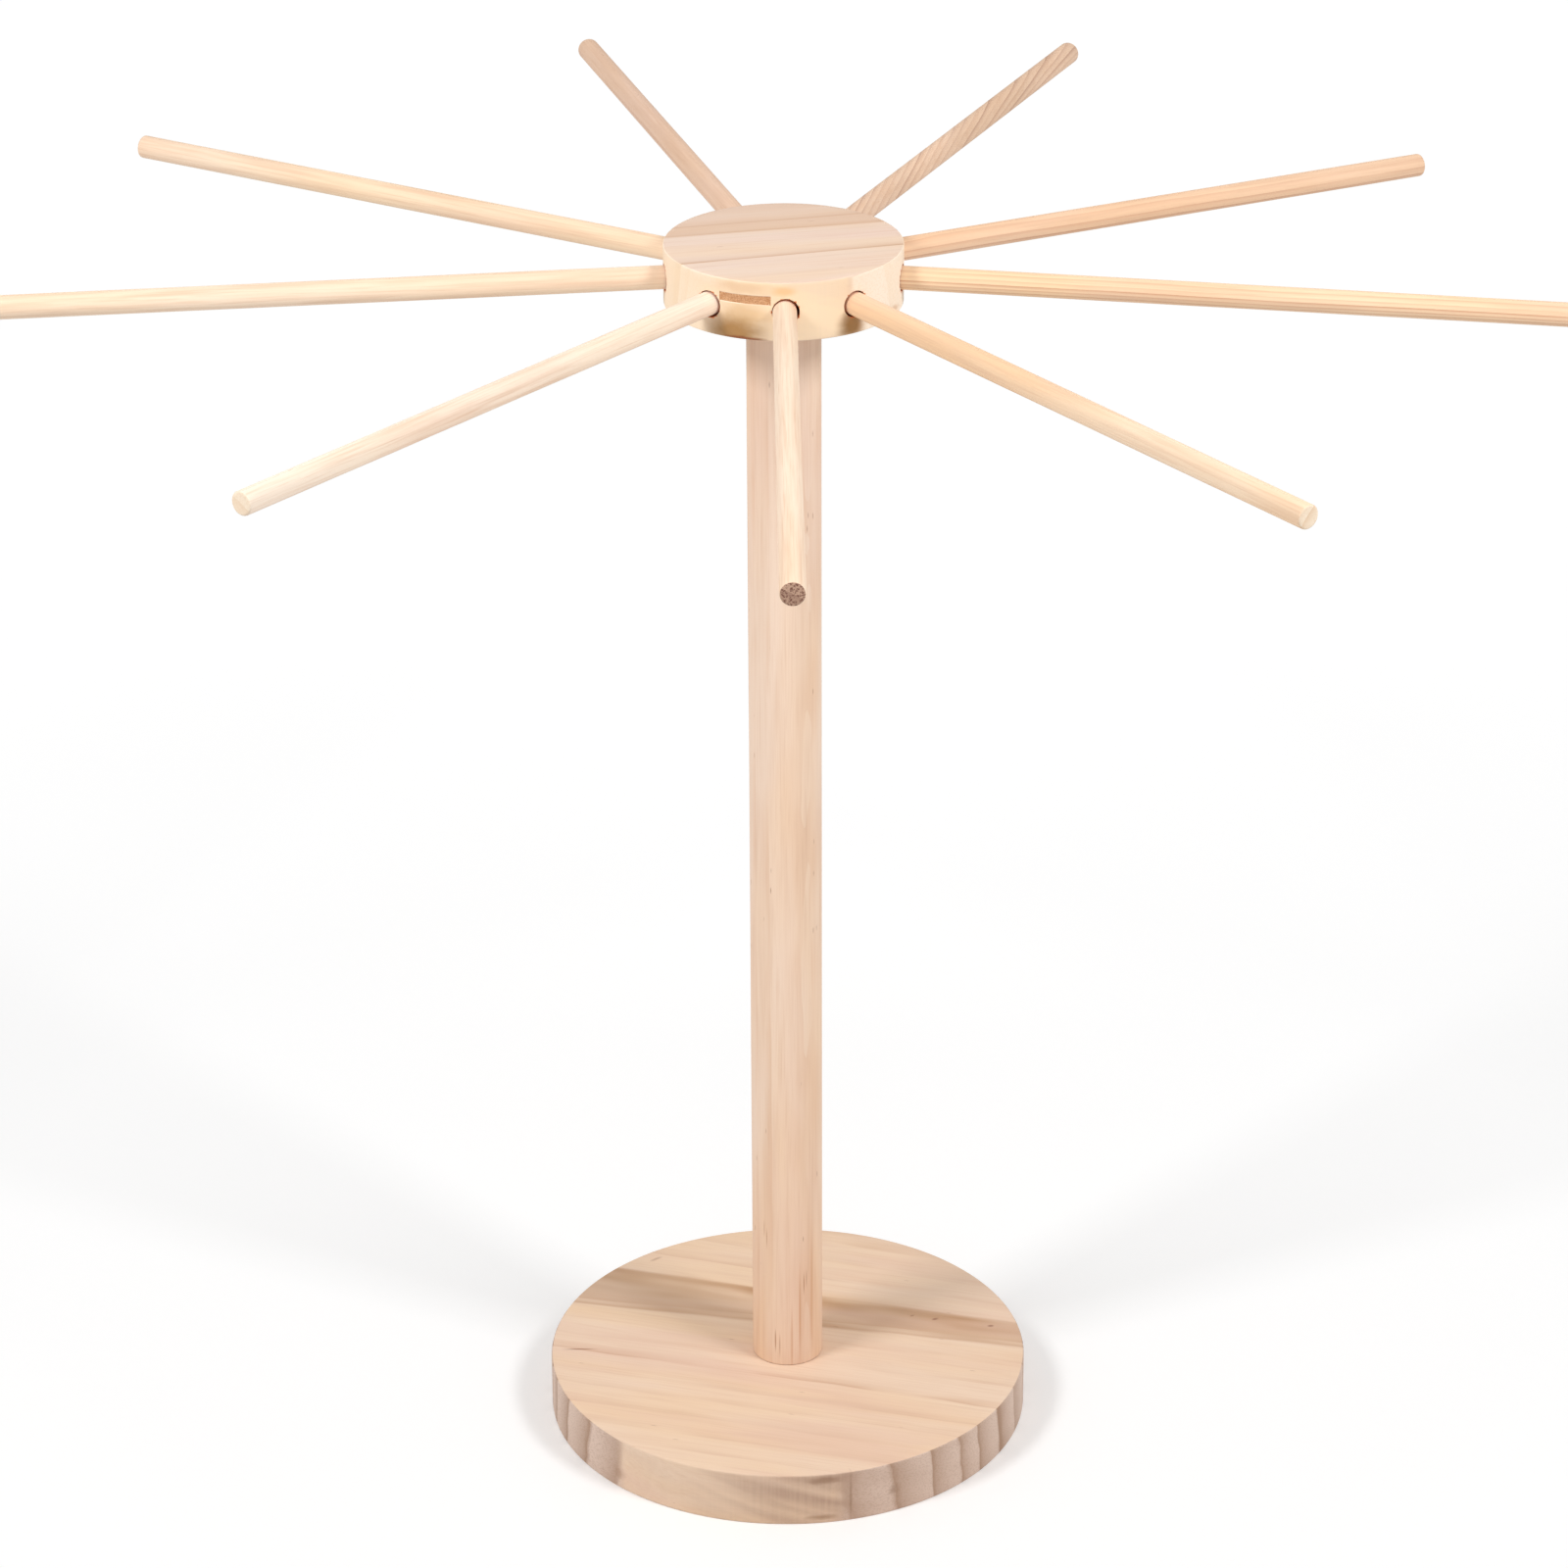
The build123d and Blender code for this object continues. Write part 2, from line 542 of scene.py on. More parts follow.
    def saw(self, tree: Tree, across: Socket) -> Socket:
        """Adds the nodes that say how far each place is through its ring.

        Args:
            tree: the material's nodes.
            across: the distance across the rings, in millimetres.

        Returns:
            0 in earlywood, up to 1 at the end of a strong ring.
        """
        if self.figure is Figure.BOARD:
            # The bark side of each line is sharp, and the pith side fades out
            stops = []
            for place, dark in self.ring_lines:
                stops += [(place - self.ring_sharp, 0.0), (place, dark)]
            return self.table(tree, across, tuple(stops))
        turns = add(tree, "Math", {0: across, 1: self.ring_width}, operation="DIVIDE")
        number = add(tree, "Math", {0: turns}, operation="FLOOR")
        part = add(tree, "Math", {0: turns}, operation="FRACT")
        luck = add(tree, "TexWhiteNoise", {"W": number}, noise_dimensions="1D")
        strength = add(tree, "MapRange", {"Value": luck, "To Min": self.weakest_ring, "To Max": 1.0})
        return add(tree, "Math", {0: part, 1: strength}, operation="MULTIPLY")

    def table(self, tree: Tree, across: Socket, stops: tuple[tuple[float, float], ...]) -> Socket:
        """Adds a ramp of darkness over the distance across the board.

        Args:
            tree: the material's nodes.
            across: the distance across the rings, in millimetres.
            stops: distances and how dark the wood is there.

        Returns:
            The darkness, from 0 to 1.
        """
        feeds = {"Value": across, "From Min": -self.reach, "From Max": self.reach}
        share = add(tree, "MapRange", feeds)
        shares = tuple(((place + self.reach) / (2 * self.reach), dark) for place, dark in stops)
        return add(tree, "ValToRGB", {"Fac": share}, stops=shares)

    def material(self) -> Material:
        """Makes the finish.

        Returns:
            A new material for pieces whose grain is this one's.
        """
        made = bpy.data.materials.new(self.name)
        tree = emptied(made)
        place = add(tree, "TexCoord", out="Object")
        normal = add(tree, "TexCoord", out="Normal")
        feeds = {"Vector": place, "Location": self.heart * MM, "Rotation": self.turn}
        grain = add(tree, "Mapping", feeds | {"Scale": (MM, MM, MM)}, vector_type="TEXTURE")
        fields = self.fields(tree, grain)
        across = self.across(tree, grain, fields)
        saw = self.saw(tree, across)
        feeds = {"Value": fields["fade"], "From Min": 0.4, "From Max": 0.6, "To Min": self.line_least}
        fade = add(tree, "MapRange", feeds)
        line = add(tree, "Math", {0: saw, 1: self.ring_power}, operation="POWER")
        line = add(tree, "Math", {0: line, 1: fade}, operation="MULTIPLY")
        crisp = add(tree, "MapRange", {"Value": saw, "From Min": 0.9, "From Max": 0.98})
        crisp = add(tree, "Math", {0: crisp, 1: fade}, operation="MULTIPLY")

        # Resin canals are short dark dashes along the grain, and only some of the cells have one
        stretched = add(tree, "VectorMath", {0: grain, 1: self.canal_cells}, operation="MULTIPLY")
        cells = add(tree, "TexVoronoi", {"Vector": stretched, "Scale": 1.0}, out=None)
        near, luck = cells.outputs["Distance"], cells.outputs["Color"]
        passed = add(tree, "Math", {0: luck, 1: self.canal_luck}, operation="GREATER_THAN")
        near = add(tree, "Math", {0: near, 1: passed}, operation="ADD")
        layers = [
            (fields["cloud"], 0.42, 0.62, self.warm_share, self.warm),
            (fields["blush"], 0.48, 0.66, self.pink_share, self.pink),
            (line, 0.0, 1.0, self.late_share, self.late),
            (crisp, 0.0, 1.0, self.crisp_share, self.late),
        ]
        if self.bands:
            band = self.table(tree, across, self.bands)
            feeds = {"Value": fields["fade"], **NOISE}
            feeds |= dict(zip(("To Min", "To Max"), self.band_patches))
            patchy = add(tree, "MapRange", feeds)
            band = add(tree, "Math", {0: band, 1: patchy}, operation="MULTIPLY")
            layers.append((band, 0.0, 1.0, 1.0, self.band))
        layers += [
            (fields["streak"], 0.5, 0.7, self.streak_share, self.fibre),
            (fields["thread"], 0.5, 0.7, self.fibre_share, self.fibre),
            (fields["fibre"], 0.52, 0.7, self.fibre_share, self.fibre),
            (near, 0.13, 0.05, self.canal_share, self.canal),
        ]
        face = self.blend(tree, linear(self.pale), layers)
        brown = add(tree, "Math", {0: saw, 1: self.end_power}, operation="POWER")
        layers = [
            (brown, 0.0, 0.8, self.end_share, self.end_late),
            (saw, 0.72, 0.84, self.end_crisp, self.end_late),
            (fields["fibre"], 0.48, 0.62, self.end_speck, self.end_late),
        ]
        end = self.blend(tree, linear(self.end_pale), layers)

        # The fibres' ends show where the surface faces along them
        fibres = Vector((1.0, 0.0, 0.0))
        fibres.rotate(self.turn)
        facing = add(tree, "VectorMath", {0: normal, 1: fibres}, out=1, operation="DOT_PRODUCT")
        facing = add(tree, "Math", {0: facing}, operation="ABSOLUTE")
        feeds = {"Value": facing, "From Min": self.end_start, "From Max": self.end_start + self.end_blend}
        endness = add(tree, "MapRange", feeds, interpolation_type="SMOOTHSTEP")
        feeds = {MIX_SHARE: endness, MIX_FROM: face, MIX_TO: end}
        colour = add(tree, "Mix", feeds, out=MIX_RESULT, data_type="RGBA")
        if self.stains:
            colour = self.stained(tree, grain, normal, fields, colour)
        # Knots, torn spots and painted shadows go over the wood
        for mark_or_shadow in self.marks_and_painted_shadows:
            colour = mark_or_shadow.lay(tree, place, fields["streak"], colour)
        feeds = {"Value": fields["fibre"], "From Min": 0.3, "From Max": 0.7}
        rough = add(tree, "MapRange", feeds | dict(zip(("To Min", "To Max"), self.roughness)))
        height = add(tree, "Math", {0: fields["fibre"], 1: line}, operation="ADD")
        relief = add(tree, "Bump", {"Height": height, "Distance": self.relief * MM, "Strength": 0.5})
        feeds = {"Base Color": colour, "Roughness": rough, "Normal": relief, "IOR": WOOD_IOR}
        shader = add(tree, "BsdfPrincipled", feeds)
        add(tree, "OutputMaterial", {"Surface": shader}, out=None)
        return made

    @staticmethod
    def blend(tree: Tree, ground: Any, layers: list[tuple[Any, float, float, float, str]]) -> Socket:
        """Lays tints over a ground colour.

        Args:
            tree: the material's nodes.
            ground: the colour below.
            layers: for each tint a field, where in it the tint starts and is full, its most, and
                its colour.

        Returns:
            The colour on top.
        """
        for value, start, full, most, shade in layers:
            feeds = {"Value": value, "From Min": start, "From Max": full, "To Max": most}
            share = add(tree, "MapRange", feeds)
            feeds = {MIX_SHARE: share, MIX_FROM: ground, MIX_TO: linear(shade)}
            ground = add(tree, "Mix", feeds, out=MIX_RESULT, data_type="RGBA")
        return ground

    def stained(
        self, tree: Tree, grain: Socket, normal: Socket, fields: dict[str, Socket], colour: Socket
    ) -> Socket:
        """Browns the turned rim where the tool cut against the grain, with the lathe's fine upright marks.

        Args:
            tree: the material's nodes.
            grain: the place in the wood, in millimetres.
            normal: the surface's direction.
            fields: the random fields.
            colour: the wood without the stain.

        Returns:
            The wood with it.
        """
        along = add(tree, "SeparateXYZ", {0: grain})
        share = self.table(tree, along, self.stains)
        upright = add(tree, "SeparateXYZ", {0: normal}, out=2)
        upright = add(tree, "Math", {0: upright}, operation="ABSOLUTE")
        rim = add(tree, "MapRange", {"Value": upright, "To Min": 1.0, "To Max": 0.0})
        share = add(tree, "Math", {0: share, 1: rim}, operation="MULTIPLY")
        for name, least, most in (("chatter", 0.93, 1.07), ("flow", *self.stain_flow)):
            feeds = {"Value": fields[name], **NOISE}
            marks = add(tree, "MapRange", feeds | {"To Min": least, "To Max": most})
            share = add(tree, "Math", {0: share, 1: marks}, operation="MULTIPLY")
        share = add(tree, "Clamp", {"Value": share})
        feeds = {MIX_SHARE: share, MIX_FROM: colour, MIX_TO: linear(self.rim_stain)}
        return add(tree, "Mix", feeds, out=MIX_RESULT, data_type="RGBA")


@dataclass(frozen=True)
class Torn:
    """Pine whose fibres are torn, as inside a drilled hole.

    The eye gets a rough red-brown surface with no shine. Its tears are given in millimetres.
    """

    name: str
    pale: str = "#EE9A62"
    dark: str = "#C8683A"
    size: float = 0.7
    rough: float = 0.9

    def material(self) -> Material:
        """Makes the finish.

        Returns:
            A new material.
        """
        made = bpy.data.materials.new(self.name)
        tree = emptied(made)
        place = add(tree, "TexCoord", out="Object")
        torn = add(tree, "TexNoise", {"Vector": place, "Scale": 1 / (self.size * MM), "Detail": 3.0})
        share = add(tree, "MapRange", {"Value": torn, **NOISE})
        feeds = {MIX_SHARE: share, MIX_FROM: linear(self.pale), MIX_TO: linear(self.dark)}
        colour = add(tree, "Mix", feeds, out=MIX_RESULT, data_type="RGBA")
        relief = add(tree, "Bump", {"Height": torn, "Distance": self.size / 4 * MM, "Strength": 1.0})
        feeds = {"Base Color": colour, "Roughness": self.rough, "Normal": relief, "IOR": WOOD_IOR}
        shader = add(tree, "BsdfPrincipled", feeds)
        add(tree, "OutputMaterial", {"Surface": shader}, out=None)
        return made


@dataclass(frozen=True)
class Beech:
    """Beech dowel, sawn and left plain.

    The eye gets a pinkish brown wood with many short dark flecks along its grain, and no ring lines.
    """

    name: str
    pale: str = "#D9AE86"
    dark: str = "#C0906A"
    fleck: str = "#8A5A3C"
    rough: float = 0.6

    def material(self) -> Material:
        """Makes the finish for a dowel that stands upright.

        Returns:
            A new material.
        """
        made = bpy.data.materials.new(self.name)
        tree = emptied(made)
        place = add(tree, "TexCoord", out="Object")
        # Clouds are 6 mm wide, and the flecks 0.5 mm wide and 2.5 mm long
        clouds = add(tree, "TexNoise", {"Vector": place, "Scale": 1 / (6 * MM), "Detail": 3.0})
        scale = (1 / (0.5 * MM), 1 / (0.5 * MM), 1 / (2.5 * MM))
        long = add(tree, "Mapping", {"Vector": place, "Scale": scale})
        flecks = add(tree, "TexVoronoi", {"Vector": long, "Scale": 1.0})
        share = add(tree, "MapRange", {"Value": clouds, **NOISE})
        feeds = {MIX_SHARE: share, MIX_FROM: linear(self.pale), MIX_TO: linear(self.dark)}
        colour = add(tree, "Mix", feeds, out=MIX_RESULT, data_type="RGBA")
        feeds = {"Value": flecks, "From Min": 0.3, "From Max": 0.15, "To Max": 0.7}
        share = add(tree, "MapRange", feeds)
        feeds = {MIX_SHARE: share, MIX_FROM: colour, MIX_TO: linear(self.fleck)}
        colour = add(tree, "Mix", feeds, out=MIX_RESULT, data_type="RGBA")
        relief = add(tree, "Bump", {"Height": flecks, "Distance": 0.05 * MM, "Strength": 0.6})
        feeds = {"Base Color": colour, "Roughness": self.rough, "Normal": relief, "IOR": WOOD_IOR}
        shader = add(tree, "BsdfPrincipled", feeds)
        add(tree, "OutputMaterial", {"Surface": shader}, out=None)
        return made


@dataclass(frozen=True)
class ZincPlate:
    """Steel with bright zinc plating, passivated.

    The eye gets a bluish silver with soft patches of a yellower tint, and a slightly grainy shine.
    """

    name: str
    bright: str = "#C9CDD3"
    dull: str = "#B4B09E"
    smooth_rough: float = 0.28
    dull_rough: float = 0.46

    def material(self) -> Material:
        """Makes the finish.

        Returns:
            A new material.
        """
        made = bpy.data.materials.new(self.name)
        tree = emptied(made)
        place = add(tree, "TexCoord", out="Object")
        # Patches of the passivation are 2.5 mm wide, and the plating's grain is 0.15 mm
        patches = add(tree, "TexNoise", {"Vector": place, "Scale": 1 / (2.5 * MM), "Detail": 2.0})
        grit = add(tree, "TexNoise", {"Vector": place, "Scale": 1 / (0.15 * MM), "Detail": 1.0})
        share = add(tree, "MapRange", {"Value": patches, "From Min": 0.4, "From Max": 0.65})
        feeds = {MIX_SHARE: share, MIX_FROM: linear(self.bright), MIX_TO: linear(self.dull)}
        colour = add(tree, "Mix", feeds, out=MIX_RESULT, data_type="RGBA")
        feeds = {"Value": share, "To Min": self.smooth_rough, "To Max": self.dull_rough}
        rough = add(tree, "MapRange", feeds)
        relief = add(tree, "Bump", {"Height": grit, "Distance": 0.01 * MM, "Strength": 0.4})
        feeds = {"Base Color": colour, "Roughness": rough, "Normal": relief, "Metallic": 1.0}
        shader = add(tree, "BsdfPrincipled", feeds)
        add(tree, "OutputMaterial", {"Surface": shader}, out=None)
        return made


@dataclass
class SubAssembly:
    """What the sub-assemblies share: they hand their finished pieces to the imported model."""

    pieces: list[Piece] = field(default_factory=list, init=False)

    def seat(self, piece: Piece, body: str, slot: Slot, node: str) -> None:
        """Makes a new piece stand for a CAD node.

        Args:
            piece: the finished piece.
            body: the CAD body that it rides on.
            slot: the record's slot for its finish; not used.
            node: the CAD node that it replaces.
        """
        smooth(piece)
        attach(piece, body)
        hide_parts(node)
        self.pieces.append(piece)

    @staticmethod
    def stain(piece: Piece, finish: Material, test: Callable[[Any], bool]) -> None:
        """Gives some faces of a piece a finish of their own.

        Args:
            piece: the piece, which has its main finish already.
            finish: the other finish.
            test: says of each face whether it gets it.
        """
        piece.data.materials.append(finish)
        with at_work(piece):
            pick(piece, Element.FACES, test)
            piece.active_material_index = len(piece.data.materials) - 1
            bpy.ops.object.material_slot_assign()


@dataclass
class BaseBoard(SubAssembly):
    """The turned board that the rack stands on."""

    edge_ease: float = 0.8 * MM
    cuts: Cuts = Cuts(240, 22, 26)
    wave_size: float = 30 * MM
    wave_depth: float = 0.08 * MM
    recess_radius: float = 10.5 * MM
    recess_depth: float = 9.0 * MM
    recess_flare: float = 0.2 * MM
    hole_radius: float = 2.75 * MM
    hole_flare: float = 0.1 * MM
    grain_angle: float = -15.5

    def build(self) -> None:
        """Turns the board, and drills the screw's hole and its recess from below."""
        low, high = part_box("base_disc")
        board = turned("base_board", high.x, low.z, high.z, self.edge_ease, self.cuts)
        sand(board, self.wave_size, self.wave_depth)
        recess = bit("recess_bit", self.recess_radius, self.recess_depth, self.recess_flare, sides=96)
        drill(board, recess, Vector((0, 0, low.z)), UP)
        hole = bit("hole_bit", self.hole_radius, high.z, self.hole_flare, sides=48)
        drill(board, hole, Vector((0, 0, high.z)), -UP)
        self.seat(board, "stand", Slot.BOARD, "base_disc")

    def dress(self) -> None:
        """Gives the board its figure: a red-brown band behind the post and a few fine ring lines."""
        low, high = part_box("base_disc")
        finish = Pine(
            name="sanded_pine_base_board",
            figure=Figure.BOARD,
            turn=Euler((0.0, 0.0, math.radians(self.grain_angle))),
            heart=UP * high.z / MM,
            seed=3.0,
            pale="#EFD3BA",
            warm="#EFCDA8",
            pink="#E7C4AE",
            late="#BF8D69",
            band="#AE7D50",
            end_pale="#E0C6B5",
            end_late="#9A7254",
            ring_lines=(
                (-98.0, 0.5), (-91.0, 0.8), (-78.8, 0.86), (-64.6, 0.84), (-51.2, 0.86),
                (-40.6, 0.84), (-25.4, 0.98), (-10.5, 0.76), (5.5, 0.74), (20.0, 1.0),
                (24.5, 0.9), (45.0, 0.84), (60.0, 0.84), (75.5, 0.84), (92.0, 0.8),
            ),
            bands=(
                (18.6, 0.0), (20.5, 0.5), (30.0, 0.4), (38.0, 0.48),
                (43.0, 0.72), (45.0, 0.6), (46.2, 0.0),
            ),
            slants=((-25.0, 0.0), (20.0, 0.09), (44.0, 0.0), (76.0, -0.06)),
            tilt=0.1,
            ripple=0.8,
            late_share=0.55,
            streak_share=0.2,
            fibre_share=0.18,
            end_share=0.72,
            end_crisp=0.4,
            stains=((-60.0, 0.0), (-20.0, 0.15), (18.0, 0.6), (50.0, 0.7), (56.0, 0.3), (100.0, 0.1)),
            stain_flow=(0.6, 1.35),
            marks_and_painted_shadows=(
                MarkOrPaintedShadow(-81.5, 102.5, 21.0, 18.0, 5.0, 0.6, "#8A6448"),
                MarkOrPaintedShadow(-82.0, 102.5, 3.0, 18.0, 3.5, 0.6, "#94704F"),
                MarkOrPaintedShadow(-64.5, 102.5, 10.7, 6.0, 6.0, 0.55, "#8A6448"),
                MarkOrPaintedShadow(-134.1, 102.5, 7.3, 9.0, 6.0, 0.4, "#A88062"),
                MarkOrPaintedShadow(-75.2, 102.5, 12.0, 1.6, 26.0, 0.5, "#8F6C4F"),
                MarkOrPaintedShadow(19.7, 68.5, 24.0, 2.2, 4.0, 0.7, "#7E4430", 2.0),
                MarkOrPaintedShadow(11.0, 90.4, 24.0, 2.0, 4.0, 0.6, "#7E4430", 1.6),
                MarkOrPaintedShadow(25.5, 60.4, 24.0, 2.0, 4.0, 0.5, "#8A5038", 1.6),
                MarkOrPaintedShadow(180.6, 90.0, 24.0, 1.3, 4.0, 0.75, "#8A5A3C", 9.0, 0.4),
                MarkOrPaintedShadow(127.7, 96.0, 24.0, 8.0, 4.0, 0.4, "#9C6A4C", 1.2),
            ),
        )
        self.pieces[0].data.materials.append(finish.material())


@dataclass
class Post(SubAssembly):
    """The round rod between the boards."""

    edge_ease: float = 0.5 * MM
    cuts: Cuts = Cuts(96, 60, 6)
    wave_size: float = 40 * MM
    wave_depth: float = 0.08 * MM
    bore_radius: float = 6.08 * MM
    bore_depth: float = 24.0 * MM
    bore_flare: float = 0.6 * MM
    pilot_radius: float = 2.55 * MM
    pilot_depth: float = 35.4 * MM
    pilot_flare: float = 0.1 * MM

    def build(self) -> None:
        """Turns the rod and drills it for the hub's pin above and the screw below."""
        low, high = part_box("post")
        rod = turned("post_rod", high.x, low.z, high.z, self.edge_ease, self.cuts)
        sand(rod, self.wave_size, self.wave_depth)
        bore = bit("bore_bit", self.bore_radius, self.bore_depth, self.bore_flare, sides=64)
        drill(rod, bore, Vector((0, 0, high.z)), -UP)
        pilot = bit("pilot_bit", self.pilot_radius, self.pilot_depth, self.pilot_flare, sides=32)
        drill(rod, pilot, Vector((0, 0, low.z)), UP)
        self.seat(rod, "stand", Slot.ROD, "post")

    def dress(self) -> None:
        """Gives the rod its upright grain, pinkish and nearly plain, with short dark dashes."""
        finish = Pine(
            name="sanded_pine_post",
            figure=Figure.ROD,
            turn=Euler((0.0, math.radians(-90.0), 0.0)),
            heart=Vector((-30.0, 40.0, 0.0)),
            seed=11.0,
            pale="#F5DAC4",
            warm="#F3CFAC",
            pink="#EECDB7",
            late="#D9A276",
            ring_width=6.5,
            ring_power=2.5,
            late_share=0.42,
            streak_share=0.24,
            fibre_share=0.2,
            canal_share=0.7,
            canal_luck=0.3,
            marks_and_painted_shadows=(
                MarkOrPaintedShadow(-62.0, 15.0, 63.5, 0.7, 13.0, 0.7, "#A5683F"),
                MarkOrPaintedShadow(-57.0, 15.0, 66.0, 0.6, 11.0, 0.6, "#A5683F"),
                MarkOrPaintedShadow(-110.5, 15.0, 36.0, 0.6, 11.0, 0.7, "#A0663F"),
                MarkOrPaintedShadow(-103.0, 15.0, 34.0, 0.6, 14.0, 0.55, "#A5683F"),
                MarkOrPaintedShadow(-126.0, 15.0, 86.0, 0.6, 12.0, 0.55, "#A5683F"),
                MarkOrPaintedShadow(-131.0, 15.0, 90.0, 0.6, 10.0, 0.5, "#A5683F"),
                MarkOrPaintedShadow(-83.0, 15.0, 36.0, 1.2, 40.0, 0.45, "#C98A5A"),
                MarkOrPaintedShadow(-69.0, 15.0, 48.0, 1.6, 60.0, 0.5, "#C98A5A"),
                MarkOrPaintedShadow(-46.0, 15.0, 60.0, 2.4, 90.0, 0.4, "#CF935F"),
            ),
        )
        self.pieces[0].data.materials.append(finish.material())


@dataclass
class ArmPlace:
    """Where one arm is, read from its CAD node and its joint."""

    number: int
    axis: Vector
    root: Vector
    length: float
    radius: float

    @classmethod
    def read(cls, number: int) -> ArmPlace:
        """Finds the arm's line and size.

        Args:
            number: the arm's number, from 1 at the front.

        Returns:
            The place of that arm.
        """
        joint = next(j for j in frame["joints"] if j["name"] == f"arm_{number}_pull")
        axis = Vector(joint["axis"]).normalized()
        side = axis.cross(UP).normalized()
        rise = side.cross(axis)
        points = [v.co for v in frame["nodes"][f"arm_{number}"].data.vertices]
        reach = {n: [p.dot(d) for p in points] for n, d in (("axis", axis), ("side", side), ("rise", rise))}
        middle = {n: (min(v) + max(v)) / 2 for n, v in reach.items()}
        start = min(reach["axis"])
        root = axis * start + side * middle["side"] + rise * middle["rise"]
        length = max(reach["axis"]) - start
        radius = max(max(reach[n]) - min(reach[n]) for n in ("side", "rise")) / 2
        return cls(number, axis, root, length, radius)


